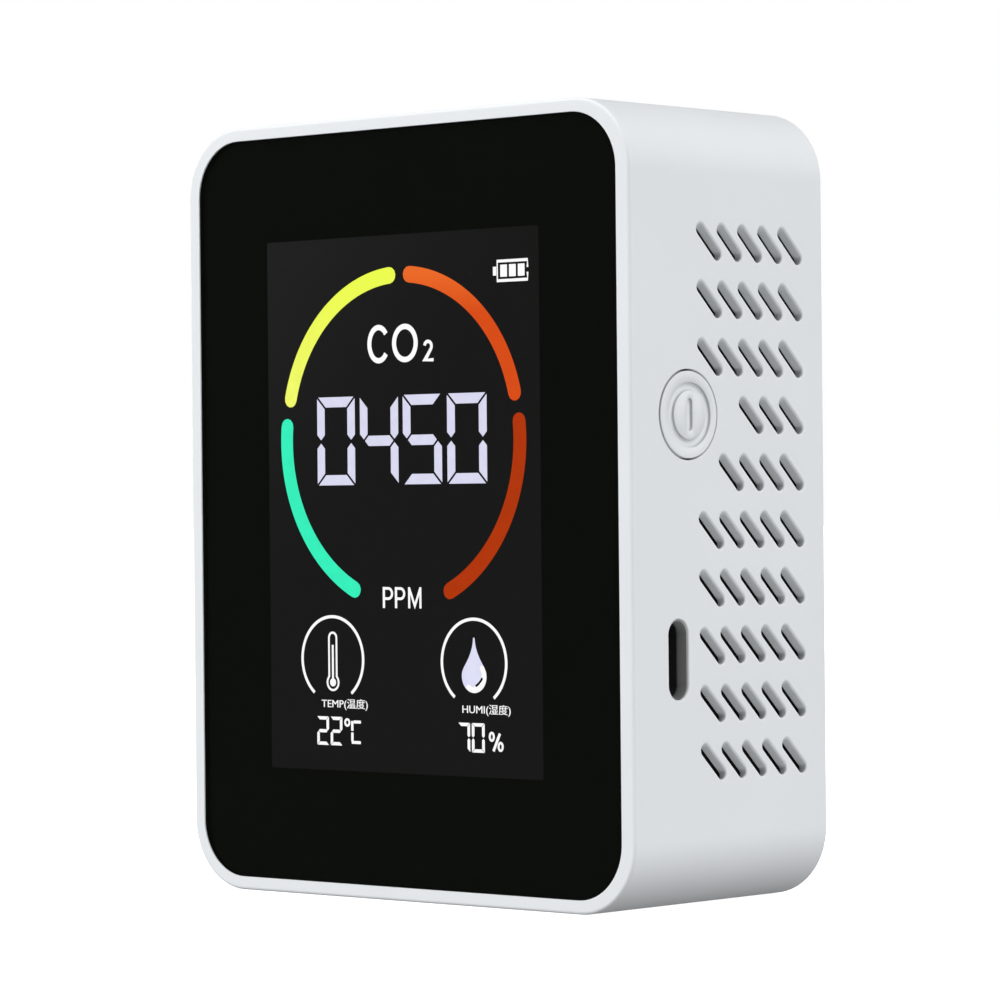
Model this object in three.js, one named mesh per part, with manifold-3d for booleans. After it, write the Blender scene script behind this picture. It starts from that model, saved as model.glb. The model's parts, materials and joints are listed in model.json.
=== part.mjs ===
// A desktop carbon dioxide, temperature and humidity monitor, built as it comes apart on a bench:
// a one-piece front housing with vented sides, an inset back cover, a bonded display lens, the LCD stack,
// the circuit board with its sensors, the battery, and a power button that pushes a side-acting switch.
// Millimetres. +X is the side with the button and the USB socket, +Y the back, +Z up, the base at Z = 0.
import * as THREE from "three";
import { mergeVertices } from "three/addons/utils/BufferGeometryUtils.js";
import Module from "manifold-3d";

const wasm = await Module();
wasm.setup();

// ---- driving dimensions; depths are counted back from the front rim, which is at depth 0 ----
const CASE = { width: 73, height: 95, depth: 36, corner: 8.5, wall: 1.4, edge: 0.5 };
const MID_Z = CASE.height / 2;
const BACK = CASE.depth;
const HALF_W = CASE.width / 2;
const INNER_X = HALF_W - CASE.wall;
const GAP = 0.05; // between faces that rest on each other
const ARC_STEPS = 8; // facets in a quarter turn of a large corner
const SMALL_STEPS = 4;
const SLOT_STEPS = 2;

const LENS = { x: -0.15, width: 69.04, height: 91.6, corner: 6.8, front: 0.15, thickness: 0.5, gap: 0.06 };
const LEDGE = { front: 1.5, back: 3.0 }; // the housing's front wall, which the lens is bonded to
const WINDOW = { width: 50.2, height: 69.6, z: 48 };
const LCD = { width: 49.6, height: 68.8, front: 0.7, thickness: 2.8 };
const BACKLIGHT = { width: 52.6, height: 72, front: 3.55, thickness: 2.75, rim: 2.6, floor: 0.6 };

const VENT = { columns: 5, rows: 10, y: 14.38, z: 78.4, pitchY: 3.8, pitchZ: 6.78 };
const SCREEN = { thickness: 0.4, front: 11.2, back: 32.2, bottom: 13.5, top: 82.5, buttonGap: 0.5 };
// Each slot slides along its own length as it goes through the wall, by its slant times the depth.
const SLOT = { width: 1.42, reach: 4.15, tilt: THREE.MathUtils.degToRad(-43), slant: 0.5 };
const VENT_FIRST_COLUMN = { 3: 2, 4: 1 }; // rows that start later, beside the button

const BUTTON = { y: 10.4, z: 58.05, radius: 5.12, flange: 6.2, stem: 1.6, face: 36.48 };
const BUTTON_HOLE = { y: 10.29, radius: 5.34 }; // the button rests towards the rear of its hole
const BUTTON_FLANGE = { inner: 33.6, outer: 35.0 };
const BUTTON_ICON = { y: 10.58, z: 58.0, radius: 3.32, groove: 0.96, depth: 0.42, bar: 3.8, barZ: 58.05 };
const STEM_END = 31.35;
const SWITCH = { back: 24.6, front: 28.8, height: 4.2, width: 6.2, bore: 1.95, boreDepth: 1.8 };
const PLUNGER = { radius: 1.75, inner: 27.7, outer: 31.2 };

const PORT = { y: 8.18, z: 29.5, length: 9.4, width: 3.56 };
const LINER = { wall: 0.15, fit: 0.03, flange: 0.5, front: 36.3, back: 34.75 };
const GASKET = { front: 34.7, back: 33.05 };
const SOCKET = { length: 8.94, width: 3.26, sheet: 0.3, mouth: 33.0, depth: 7.3 };
const TONGUE = { length: 6.6, width: 0.7, tip: 31.9, root: 26.7 };

const PCB = { front: 6.6, thickness: 1.6, half: 33.4, bottom: 11.5, top: 83.5, corner: 2 };
const PCB_BACK = PCB.front + PCB.thickness;
const ON_PCB = PCB_BACK + GAP;
const BUTTON_NOTCH_X = 31.4;
const PCB_FIXINGS = { x: 29.5, zs: [15, 80], boss: 2.4, pilot: 1.0, hole: 1.15 };
const PCB_SCREW = { head: 1.9, headHeight: 1.4, shank: 0.9, length: 4 };

const COVER = { clearance: 0.15, thickness: 2.0, back: 35.8, lipFront: 32.3, lipWall: 1.2 };
const COVER_FRONT = COVER.back - COVER.thickness;
const COVER_FIXINGS = { x: 29.2, zs: [7.3, CASE.height - 7.3], boss: 3.0, pilot: 1.25, hole: 1.4, sink: 2.7 };
const COVER_SCREW = { head: 2.35, headHeight: 1.15, shank: 1.15, length: 10, seat: 34.4 };
const CROSS = { length: 2.6, width: 0.55, depth: 0.7 }; // the cross recess of a screw head
const LABEL = { width: 44, height: 30, z: 47.5, recess: 0.25, thickness: 0.15 };

const BATTERY = { x: -15, z: 37, width: 34, height: 50, front: 21, thickness: 10, corner: 1.6 };
const BATTERY_PAD = { width: 24, height: 36 };
const WIRE = { radius: 0.65, sides: 8, steps: 26, spread: 1.0 };
const BATTERY_SOCKET = { x: -26, z: 60, width: 7.8, height: 5.8, thickness: 4.5 };

const GAS = { x: 9, z: 72.4, width: 34, height: 20, boardFront: 10.6, board: 1.2 };
const GAS_CHAMBER = { width: 31, height: 17, thickness: 7.6, corner: 2 };
const GAS_FILTER = { width: 14, height: 8, thickness: 0.3 };
const BUZZER = { x: -19, z: 76, radius: 6, height: 5.4, port: 1.3, portDepth: 2 };

// ---- solids ----
const UP_SHAPES = new THREE.Matrix4().makeBasis(
  new THREE.Vector3(1, 0, 0),
  new THREE.Vector3(0, 0, 1),
  new THREE.Vector3(0, -1, 0),
);
const SIDE_SHAPES = new THREE.Matrix4().makeBasis(
  new THREE.Vector3(0, 1, 0),
  new THREE.Vector3(0, 0, 1),
  new THREE.Vector3(1, 0, 0),
);

function solidOf(geometry) {
  const bare = geometry.clone();
  bare.deleteAttribute("normal");
  bare.deleteAttribute("uv");
  const merged = mergeVertices(bare, 1e-4);
  return new wasm.Manifold(
    new wasm.Mesh({
      numProp: 3,
      vertProperties: merged.attributes.position.array,
      triVerts: new Uint32Array(merged.index.array),
    }),
  );
}

function geometryOf(solid) {
  const { vertProperties, triVerts } = solid.getMesh();
  const geometry = new THREE.BufferGeometry();
  geometry.setAttribute("position", new THREE.BufferAttribute(vertProperties, 3));
  geometry.setIndex(new THREE.BufferAttribute(triVerts, 1));
  return geometry;
}

// A rounded rectangle round the origin.
function roundedRect(width, height, radius) {
  const x = width / 2;
  const y = height / 2;
  const r = Math.min(radius, x, y);
  const shape = new THREE.Shape();
  shape.moveTo(-x + r, -y);
  shape.lineTo(x - r, -y);
  shape.absarc(x - r, -y + r, r, -Math.PI / 2, 0);
  shape.lineTo(x, y - r);
  shape.absarc(x - r, y - r, r, 0, Math.PI / 2);
  shape.lineTo(-x + r, y);
  shape.absarc(-x + r, y - r, r, Math.PI / 2, Math.PI);
  shape.lineTo(-x, -y + r);
  shape.absarc(-x + r, -y + r, r, Math.PI, 1.5 * Math.PI);
  return shape;
}

// `steps` is the facets in a quarter turn; an arc of a shape gets two facets per curve segment.
function extruded(shape, depth, steps) {
  return new THREE.ExtrudeGeometry(shape, { depth, bevelEnabled: false, curveSegments: steps / 2 });
}

// A shape drawn in X and Z, filling the depths from front to back.
function slab(shape, front, back, { x = 0, z = 0, steps = SMALL_STEPS } = {}) {
  return solidOf(extruded(shape, back - front, steps).applyMatrix4(UP_SHAPES).translate(x, back, z));
}

// A shape drawn in Y and Z, filling X from inner to outer.
function sideSlab(shape, inner, outer, { y = 0, z = 0, steps = SMALL_STEPS } = {}) {
  return solidOf(extruded(shape, outer - inner, steps).applyMatrix4(SIDE_SHAPES).translate(inner, y, z));
}

function rodY(radius, front, back, x, z, sides = 20) {
  const geometry = new THREE.CylinderGeometry(radius, radius, back - front, sides);
  return solidOf(geometry.translate(x, (front + back) / 2, z));
}

function rodX(radius, inner, outer, y, z, sides = 32) {
  const geometry = new THREE.CylinderGeometry(radius, radius, outer - inner, sides).rotateZ(-Math.PI / 2);
  return solidOf(geometry.translate((inner + outer) / 2, y, z));
}

function block(x0, x1, front, back, z0, z1) {
  const geometry = new THREE.BoxGeometry(x1 - x0, back - front, z1 - z0);
  return solidOf(geometry.translate((x0 + x1) / 2, (front + back) / 2, (z0 + z1) / 2));
}

function plate(x, z, width, height, front, back, corner = 0.3) {
  return slab(roundedRect(width, height, corner), front, back, { x, z });
}

function join(first, ...others) {
  return others.reduce((sum, solid) => sum.add(solid), first);
}

function cut(first, ...others) {
  return others.reduce((rest, solid) => rest.subtract(solid), first);
}

// The corners of a rectangular set of fixings.
function corners({ x, zs }) {
  return zs.flatMap((z) => [[-x, z], [x, z]]);
}

// ---- the case ----
// A rounded-rectangle prism whose front and back edges are rounded over.
function roundedCase() {
  const rings = [];
  for (let i = 0; i <= SMALL_STEPS; i++) {
    const turn = (i / SMALL_STEPS) * (Math.PI / 2);
    rings.push({ inset: CASE.edge * (1 - Math.sin(turn)), depth: CASE.edge * (1 - Math.cos(turn)) });
  }
  const stations = [...rings, ...rings.map(({ inset, depth }) => ({ inset, depth: BACK - depth })).reverse()];
  const outline = ({ inset, depth }) => {
    const points = [];
    const radius = CASE.corner - inset;
    for (let quarter = 0; quarter < 4; quarter++) {
      const sideX = quarter === 0 || quarter === 3 ? 1 : -1;
      const sideZ = quarter < 2 ? 1 : -1;
      for (let i = 0; i <= ARC_STEPS; i++) {
        const turn = ((quarter + i / ARC_STEPS) * Math.PI) / 2;
        points.push([
          sideX * (HALF_W - CASE.corner) + radius * Math.cos(turn),
          depth,
          MID_Z + sideZ * (MID_Z - CASE.corner) + radius * Math.sin(turn),
        ]);
      }
    }
    return points;
  };
  const loops = stations.map(outline);
  const around = loops[0].length;
  const positions = loops.flat(2);
  const frontHub = loops.length * around;
  positions.push(0, 0, MID_Z, 0, BACK, MID_Z);
  const faces = [];
  for (let i = 0; i < around; i++) {
    const next = (i + 1) % around;
    for (let s = 0; s < loops.length - 1; s++) {
      const near = s * around;
      const far = near + around;
      faces.push(near + i, far + i, near + next, near + next, far + i, far + next);
    }
    const last = (loops.length - 1) * around;
    faces.push(frontHub, i, next, frontHub + 1, last + next, last + i);
  }
  const geometry = new THREE.BufferGeometry();
  geometry.setAttribute("position", new THREE.Float32BufferAttribute(positions, 3));
  geometry.setIndex(faces);
  return solidOf(geometry);
}

function ventSlots(side, firstColumns) {
  const slots = [];
  const shape = roundedRect(SLOT.reach + SLOT.width, SLOT.width, SLOT.width / 2);
  const pastWall = 1;
  const outerFace = side > 0 ? -CASE.wall - pastWall : -pastWall;
  const slant = new THREE.Matrix4().makeShear(0, 0, 0, 0, -side * SLOT.slant, 0);
  for (let row = 0; row < VENT.rows; row++) {
    for (let column = firstColumns[row] ?? 0; column < VENT.columns; column++) {
      const geometry = extruded(shape, CASE.wall + 2 * pastWall, SLOT_STEPS);
      geometry.translate(0, 0, outerFace).applyMatrix4(slant);
      geometry.rotateZ(SLOT.tilt).applyMatrix4(SIDE_SHAPES);
      geometry.translate(side * HALF_W, VENT.y + column * VENT.pitchY, VENT.z - row * VENT.pitchZ);
      slots.push(solidOf(geometry));
    }
  }
  return wasm.Manifold.union(slots);
}

function frontHousing() {
  const past = 1;
  const [insideWidth, insideHeight] = [CASE.width - 2 * CASE.wall, CASE.height - 2 * CASE.wall];
  const inside = roundedRect(insideWidth, insideHeight, CASE.corner - CASE.wall);
  const seat = roundedRect(
    LENS.width + 2 * LENS.gap,
    LENS.height + 2 * LENS.gap,
    LENS.corner + LENS.gap,
  );
  const hollow = slab(inside, LEDGE.back, BACK + past, { z: MID_Z, steps: ARC_STEPS });
  const recess = slab(seat, -past, LEDGE.front, { x: LENS.x, z: MID_Z, steps: ARC_STEPS });
  const window = plate(0, WINDOW.z, WINDOW.width, WINDOW.height, 0, LEDGE.back + past, 1);
  const port = sideSlab(roundedRect(PORT.width, PORT.length, PORT.width / 2), INNER_X - past, HALF_W + past, {
    y: PORT.y,
    z: PORT.z,
  });
  const buttonHole = rodX(BUTTON_HOLE.radius, INNER_X - past, HALF_W + past, BUTTON_HOLE.y, BUTTON.z);
  let shell = cut(roundedCase(), hollow, recess, window, port, buttonHole);
  shell = cut(shell, ventSlots(1, VENT_FIRST_COLUMN), ventSlots(-1, {}));
  const root = LEDGE.back - 0.2; // bosses start inside the front wall
  for (const [x, z] of corners(COVER_FIXINGS)) {
    shell = shell.add(rodY(COVER_FIXINGS.boss, root, COVER_FRONT - GAP, x, z));
    shell = shell.subtract(rodY(COVER_FIXINGS.pilot, COVER_FRONT - 12, COVER_FRONT + past, x, z, 12));
  }
  for (const [x, z] of corners(PCB_FIXINGS)) {
    shell = shell.add(rodY(PCB_FIXINGS.boss, root, PCB.front - GAP, x, z, 16));
    shell = shell.subtract(rodY(PCB_FIXINGS.pilot, LEDGE.back + 0.4, PCB.front + past, x, z, 12));
  }
  return shell;
}

// A sheet of black mesh behind the vents of one side. The right one leaves room for the button.
function dustScreen(side) {
  const near = INNER_X - GAP - SCREEN.thickness;
  const far = INNER_X - GAP;
  const [x0, x1] = side > 0 ? [near, far] : [-far, -near];
  const sheet = block(x0, x1, SCREEN.front, SCREEN.back, SCREEN.bottom, SCREEN.top);
  const room = rodX(BUTTON.flange + SCREEN.buttonGap, near - 1, far + 1, BUTTON.y, BUTTON.z);
  return sheet.subtract(room);
}

function backCover() {
  const shrink = 2 * (CASE.wall + COVER.clearance);
  const width = CASE.width - shrink;
  const height = CASE.height - shrink;
  const corner = CASE.corner - shrink / 2;
  const outline = roundedRect(width, height, corner);
  const bore = roundedRect(width - 2 * COVER.lipWall, height - 2 * COVER.lipWall, corner - COVER.lipWall);
  let cover = slab(outline, COVER.lipFront, COVER.back, { z: MID_Z, steps: ARC_STEPS });
  cover = cover.subtract(slab(bore, COVER.lipFront - 1, COVER_FRONT, { z: MID_Z, steps: ARC_STEPS }));
  cover = cover.subtract(
    plate(0, LABEL.z, LABEL.width + 0.4, LABEL.height + 0.4, COVER.back - LABEL.recess, BACK, 1.7),
  );
  for (const [x, z] of corners(COVER_FIXINGS)) {
    cover = cover.subtract(rodY(COVER_FIXINGS.hole, COVER_FRONT - 1, BACK, x, z));
    cover = cover.subtract(rodY(COVER_FIXINGS.sink, COVER_SCREW.seat - GAP, BACK, x, z, 24));
  }
  return cover;
}

// A pan-head screw whose head rests at the depth `seat` and whose point is towards the front.
function screw({ head, headHeight, shank, length }, seat, x, z) {
  const tip = seat - length;
  const profile = [
    [0, tip],
    [shank * 0.45, tip + 0.3],
    [shank, tip + 1.4],
    [shank, seat],
    [head, seat],
    [head, seat + headHeight * 0.45],
    [head * 0.8, seat + headHeight * 0.85],
    [head * 0.5, seat + headHeight],
    [0, seat + headHeight],
  ].map(([radius, depth]) => new THREE.Vector2(radius, depth));
  const body = solidOf(new THREE.LatheGeometry(profile, 12).translate(x, 0, z));
  const top = seat + headHeight;
  const half = (CROSS.length / 2) * (head / COVER_SCREW.head);
  const across = CROSS.width / 2;
  const floor = top - CROSS.depth * 0.8;
  return cut(
    body,
    block(x - half, x + half, floor, top + 1, z - across, z + across),
    block(x - across, x + across, floor, top + 1, z - half, z + half),
  );
}

// ---- the display stack ----
const lensBack = LENS.front + LENS.thickness;

function displayLens() {
  return slab(roundedRect(LENS.width, LENS.height, LENS.corner), LENS.front, lensBack, {
    x: LENS.x,
    z: MID_Z,
    steps: ARC_STEPS,
  });
}

function lensAdhesive() {
  const inset = 0.8;
  const outline = roundedRect(LENS.width - 2 * inset, LENS.height - 2 * inset, LENS.corner - inset);
  const ring = slab(outline, lensBack + GAP, LEDGE.front - GAP, { x: LENS.x, z: MID_Z });
  return ring.subtract(plate(0, WINDOW.z, WINDOW.width + 1, WINDOW.height + 1, 0, LEDGE.back, 1.4));
}

const lcdBack = LCD.front + LCD.thickness;

function lcdPanel() {
  const glass = block(
    -LCD.width / 2,
    LCD.width / 2,
    LCD.front,
    lcdBack,
    WINDOW.z - LCD.height / 2,
    WINDOW.z + LCD.height / 2,
  );
  const contactStep = block(-LCD.width, LCD.width, 0, LCD.front + 1, 0, WINDOW.z - LCD.height / 2 + 1.6);
  return glass.subtract(contactStep);
}

const backlightBack = BACKLIGHT.front + BACKLIGHT.thickness;
const guide = {
  width: BACKLIGHT.width - 2 * BACKLIGHT.rim,
  height: BACKLIGHT.height - 2 * BACKLIGHT.rim,
  back: backlightBack - BACKLIGHT.floor,
};

function backlightFrame() {
  const frame = plate(0, WINDOW.z, BACKLIGHT.width, BACKLIGHT.height, BACKLIGHT.front, backlightBack, 0.8);
  return frame.subtract(plate(0, WINDOW.z, guide.width, guide.height, 0, guide.back, 0.3));
}

const ledStrip = { height: 2.2, fit: 0.15 };

function lightGuide() {
  const top = WINDOW.z + guide.height / 2 - ledStrip.fit;
  const bottom = WINDOW.z - guide.height / 2 + ledStrip.height + 2 * ledStrip.fit;
  const half = guide.width / 2 - ledStrip.fit;
  return block(-half, half, BACKLIGHT.front + GAP, guide.back - GAP, bottom, top);
}

function backlightLeds() {
  const bottom = WINDOW.z - guide.height / 2 + ledStrip.fit;
  const half = guide.width / 2 - ledStrip.fit;
  const depths = [guide.back - 1.6, guide.back - GAP];
  let strip = block(-half, half, ...depths, bottom, bottom + 0.8);
  for (const x of [-18, -6, 6, 18]) {
    strip = strip.add(block(x - 1.6, x + 1.6, ...depths, bottom + 0.7, bottom + ledStrip.height));
  }
  return strip;
}

// The ribbon that leaves the panel's lower edge, turns under the board and enters its socket from below.
const ribbonSocket = { x: 0, z: 18, width: 24, height: 4, thickness: 2.1 };

function ribbonCable() {
  const thickness = 0.2;
  const front = 3.2;
  const back = ON_PCB + 1.1;
  const middle = (front + back) / 2;
  const radius = (back - front) / 2;
  const turnZ = 9.6;
  const start = WINDOW.z - LCD.height / 2 - GAP;
  const end = ribbonSocket.z - ribbonSocket.height / 2 - GAP;
  const shape = new THREE.Shape();
  shape.moveTo(front - thickness / 2, start);
  shape.lineTo(front - thickness / 2, turnZ);
  shape.absarc(middle, turnZ, radius + thickness / 2, Math.PI, 2 * Math.PI);
  shape.lineTo(back + thickness / 2, end);
  shape.lineTo(back - thickness / 2, end);
  shape.lineTo(back - thickness / 2, turnZ);
  shape.absarc(middle, turnZ, radius - thickness / 2, 2 * Math.PI, Math.PI, true);
  shape.lineTo(front + thickness / 2, start);
  return sideSlab(shape, -10, 10, { steps: ARC_STEPS });
}

// ---- the circuit board ----
function mainBoard() {
  const height = PCB.top - PCB.bottom;
  const past = 1;
  let board = plate(0, (PCB.top + PCB.bottom) / 2, 2 * PCB.half, height, PCB.front, PCB_BACK, PCB.corner);
  for (const [x, z] of corners(PCB_FIXINGS)) {
    board = board.subtract(rodY(PCB_FIXINGS.hole, 0, BACK, x, z, 16));
  }
  const portHalf = PORT.length / 2 + LINER.flange + 0.3;
  const socketBack = SOCKET.mouth - SOCKET.depth - 0.3;
  const buttonHalf = BUTTON.flange + 1;
  return cut(
    board,
    block(socketBack, PCB.half + past, 0, BACK, PORT.z - portHalf, PORT.z + portHalf),
    block(BUTTON_NOTCH_X, PCB.half + past, 0, BACK, BUTTON.z - buttonHalf, BUTTON.z + buttonHalf),
  );
}

// A chip with a row of legs along two or four of its sides, all one solid.
function chip(x, z, width, height, thickness, legs, fourSided) {
  const stand = ON_PCB + 0.1;
  let body = plate(x, z, width, height, stand, stand + thickness, 0.15);
  const legWidth = 0.35;
  const reach = 0.9;
  const legBack = stand + thickness * 0.45;
  for (let i = 0; i < legs; i++) {
    const along = ((i + 0.5) / legs - 0.5) * (height - 0.8);
    const lo = along - legWidth / 2;
    const hi = along + legWidth / 2;
    const halfX = width / 2 + reach;
    const halfZ = height / 2 + reach;
    body = body.add(block(x - halfX, x + halfX, ON_PCB, legBack, z + lo, z + hi));
    if (fourSided) {
      body = body.add(block(x + lo, x + hi, ON_PCB, legBack, z - halfZ, z + halfZ));
    }
  }
  return body;
}

function ribbonSocketBody() {
  const { x, z, width, height, thickness } = ribbonSocket;
  return plate(x, z, width, height, ON_PCB, ON_PCB + thickness, 0.3);
}

function climateSensor() {
  const x = 28.2;
  const z = 44;
  const can = plate(x, z, 3.4, 3.4, ON_PCB, ON_PCB + 1.3, 0.3);
  return can.subtract(rodY(0.6, ON_PCB + 0.7, BACK, x, z, 12));
}

function buzzer() {
  const { x, z, radius, height, port, portDepth } = BUZZER;
  const back = ON_PCB + height;
  return rodY(radius, ON_PCB, back, x, z, 32).subtract(rodY(port, back - portDepth, BACK, x, z, 12));
}

function inductor() {
  const coil = { x: 20, z: 20, size: 6, back: ON_PCB + 2.8 };
  return join(
    plate(coil.x, coil.z, coil.size, coil.size, ON_PCB, ON_PCB + 0.7, 0.8),
    rodY(1.9, ON_PCB + 0.5, coil.back, coil.x, coil.z),
    rodY(2.9, coil.back - 0.6, coil.back, coil.x, coil.z),
  );
}

function capacitor() {
  const x = 21;
  const z = 50;
  const radius = 3.1;
  const back = ON_PCB + 5.4;
  const base = plate(x, z, 6.6, 6.6, ON_PCB, ON_PCB + 0.8, 0.8);
  const groove = [
    [0, ON_PCB + 0.7],
    [radius - 0.2, ON_PCB + 0.7],
    [radius, ON_PCB + 1.1],
    [radius, ON_PCB + 1.7],
    [radius - 0.35, ON_PCB + 2.0],
    [radius, ON_PCB + 2.3],
    [radius, back - 0.3],
    [radius - 0.3, back],
    [0, back],
  ].map(([r, depth]) => new THREE.Vector2(r, depth));
  return base.add(solidOf(new THREE.LatheGeometry(groove, 20).translate(x, 0, z)));
}

function crystal() {
  return slab(roundedRect(10.6, 4.3, 2.1), ON_PCB, ON_PCB + 3.4, { x: 10, z: 36 });
}

// ---- gas sensor ----
const gasBoardBack = GAS.boardFront + GAS.board;

function gasSensorBoard() {
  return plate(GAS.x, GAS.z, GAS.width, GAS.height, GAS.boardFront, gasBoardBack, 1);
}

function gasSensorPins() {
  const front = ON_PCB;
  const back = GAS.boardFront - GAP;
  let strip = block(GAS.x - 7, GAS.x + 7, front + 0.4, back, 63.4, 65.6);
  for (let i = 0; i < 5; i++) {
    const x = GAS.x - 5.08 + 2.54 * i;
    strip = strip.add(block(x - 0.32, x + 0.32, front, back, 64.18, 64.82));
  }
  return strip;
}

function gasChamber() {
  const front = gasBoardBack + GAP;
  const { width, height, thickness, corner } = GAS_CHAMBER;
  const body = plate(GAS.x, GAS.z, width, height, front, front + thickness, corner);
  const pocket = plate(
    GAS.x,
    GAS.z,
    GAS_FILTER.width + 0.4,
    GAS_FILTER.height + 0.4,
    front + thickness - 0.5,
    BACK,
    1,
  );
  return body.subtract(pocket);
}

function gasFilter() {
  const front = gasBoardBack + GAP + GAS_CHAMBER.thickness - 0.5 + GAP;
  return plate(GAS.x, GAS.z, GAS_FILTER.width, GAS_FILTER.height, front, front + GAS_FILTER.thickness, 0.8);
}

// ---- power button and its switch ----
function powerButton() {
  const cap = rodX(BUTTON.radius, BUTTON_FLANGE.inner, BUTTON.face, BUTTON.y, BUTTON.z, 48);
  const flange = rodX(BUTTON.flange, BUTTON_FLANGE.inner, BUTTON_FLANGE.outer, BUTTON.y, BUTTON.z);
  const stem = rodX(BUTTON.stem, STEM_END, BUTTON_FLANGE.inner + 0.5, BUTTON.y, BUTTON.z, 16);
  const floor = BUTTON.face - BUTTON_ICON.depth;
  const past = BUTTON.face + 1;
  const outer = BUTTON_ICON.radius + BUTTON_ICON.groove / 2;
  const inner = BUTTON_ICON.radius - BUTTON_ICON.groove / 2;
  const { y, z, barZ } = BUTTON_ICON;
  const ring = rodX(outer, floor, past, y, z).subtract(rodX(inner, floor - 1, past + 1, y, z));
  const barShape = roundedRect(BUTTON_ICON.groove, BUTTON_ICON.bar, BUTTON_ICON.groove / 2);
  const bar = sideSlab(barShape, floor, past, { y, z: barZ });
  return cut(join(cap, flange, stem), ring, bar);
}

function switchBody() {
  const { back, front, height, width, bore, boreDepth } = SWITCH;
  const body = block(back, front, ON_PCB, ON_PCB + height, BUTTON.z - width / 2, BUTTON.z + width / 2);
  return body.subtract(rodX(bore, front - boreDepth, front + 1, BUTTON.y, BUTTON.z, 20));
}

function switchPlunger() {
  return rodX(PLUNGER.radius, PLUNGER.inner, PLUNGER.outer, BUTTON.y, BUTTON.z, 20);
}

// ---- USB-C socket ----
function obround(width, length, shrink = 0) {
  return roundedRect(width - 2 * shrink, length - 2 * shrink, width / 2 - shrink);
}

function portLiner() {
  const { wall, fit, flange, front, back } = LINER;
  const at = { y: PORT.y, z: PORT.z };
  const sleeve = sideSlab(obround(PORT.width, PORT.length, fit), back, front, at);
  const collar = sideSlab(obround(PORT.width, PORT.length, -flange), back, INNER_X - GAP, at);
  const bore = sideSlab(obround(PORT.width, PORT.length, fit + wall), back - 1, front + 1, at);
  return cut(join(sleeve, collar), bore);
}

function portGasket() {
  const { wall, fit, flange } = LINER;
  const at = { y: PORT.y, z: PORT.z };
  const ring = sideSlab(obround(PORT.width, PORT.length, -flange), GASKET.back, GASKET.front, at);
  return ring.subtract(
    sideSlab(obround(PORT.width, PORT.length, fit + wall), GASKET.back - 1, GASKET.front + 1, at),
  );
}

function socketShell() {
  const at = { y: PORT.y, z: PORT.z };
  const rear = SOCKET.mouth - SOCKET.depth;
  const outer = sideSlab(obround(SOCKET.width, SOCKET.length), rear, SOCKET.mouth, at);
  return outer.subtract(
    sideSlab(obround(SOCKET.width, SOCKET.length, SOCKET.sheet), rear + 0.9, SOCKET.mouth + 1, at),
  );
}

function socketTongue() {
  const half = TONGUE.width / 2;
  return block(
    TONGUE.root,
    TONGUE.tip,
    PORT.y - half,
    PORT.y + half,
    PORT.z - TONGUE.length / 2,
    PORT.z + TONGUE.length / 2,
  );
}

// ---- battery ----
const batteryBack = BATTERY.front + BATTERY.thickness;

function batteryCell() {
  const shape = roundedRect(BATTERY.width, BATTERY.thickness, BATTERY.corner * 2);
  const pouch = extruded(shape, BATTERY.height, ARC_STEPS);
  pouch.translate(BATTERY.x, BATTERY.front + BATTERY.thickness / 2, BATTERY.z - BATTERY.height / 2);
  const top = BATTERY.z + BATTERY.height / 2;
  const half = BATTERY.width / 2;
  const seal = block(BATTERY.x - half + 3, BATTERY.x + half - 3, 25, 27, top - 0.5, top + 2.2);
  return solidOf(pouch).add(seal);
}

function batteryPad() {
  const { width, height } = BATTERY_PAD;
  return plate(BATTERY.x, BATTERY.z, width, height, batteryBack + GAP, COVER_FRONT - GAP, 1);
}

function batterySocket() {
  const { x, z, width, height, thickness } = BATTERY_SOCKET;
  return plate(x, z, width, height, ON_PCB, ON_PCB + thickness, 0.4);
}

// One lead from the cell's top seal over to the socket on the board.
function batteryWire(side) {
  const offset = side * WIRE.spread;
  const socketTop = BATTERY_SOCKET.z + BATTERY_SOCKET.height / 2;
  const startX = -24 + offset;
  const points = [
    [startX, 26, BATTERY.z + BATTERY.height / 2 + 2.2 + GAP],
    [startX, 25.6, 66.2],
    [startX - 0.6, 22.5, 69.2],
    [startX - 1.4, 17, 69.6],
    [BATTERY_SOCKET.x + offset, 12, 67.6],
    [BATTERY_SOCKET.x + offset, 10.6, 65],
    [BATTERY_SOCKET.x + offset, 10.5, socketTop + GAP],
  ].map((point) => new THREE.Vector3(...point));
  const section = new THREE.Shape();
  section.absarc(0, 0, WIRE.radius, 0, 2 * Math.PI);
  return solidOf(
    new THREE.ExtrudeGeometry(section, {
      steps: WIRE.steps,
      curveSegments: WIRE.sides / 2,
      extrudePath: new THREE.CatmullRomCurve3(points),
    }),
  );
}

function ratingLabel() {
  const front = COVER.back - LABEL.recess + GAP;
  return plate(0, LABEL.z, LABEL.width, LABEL.height, front, front + LABEL.thickness, 1.5);
}

// ---- materials ----
function material(color, roughness, metalness = 0) {
  return new THREE.MeshStandardMaterial({ color, roughness, metalness });
}

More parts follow.
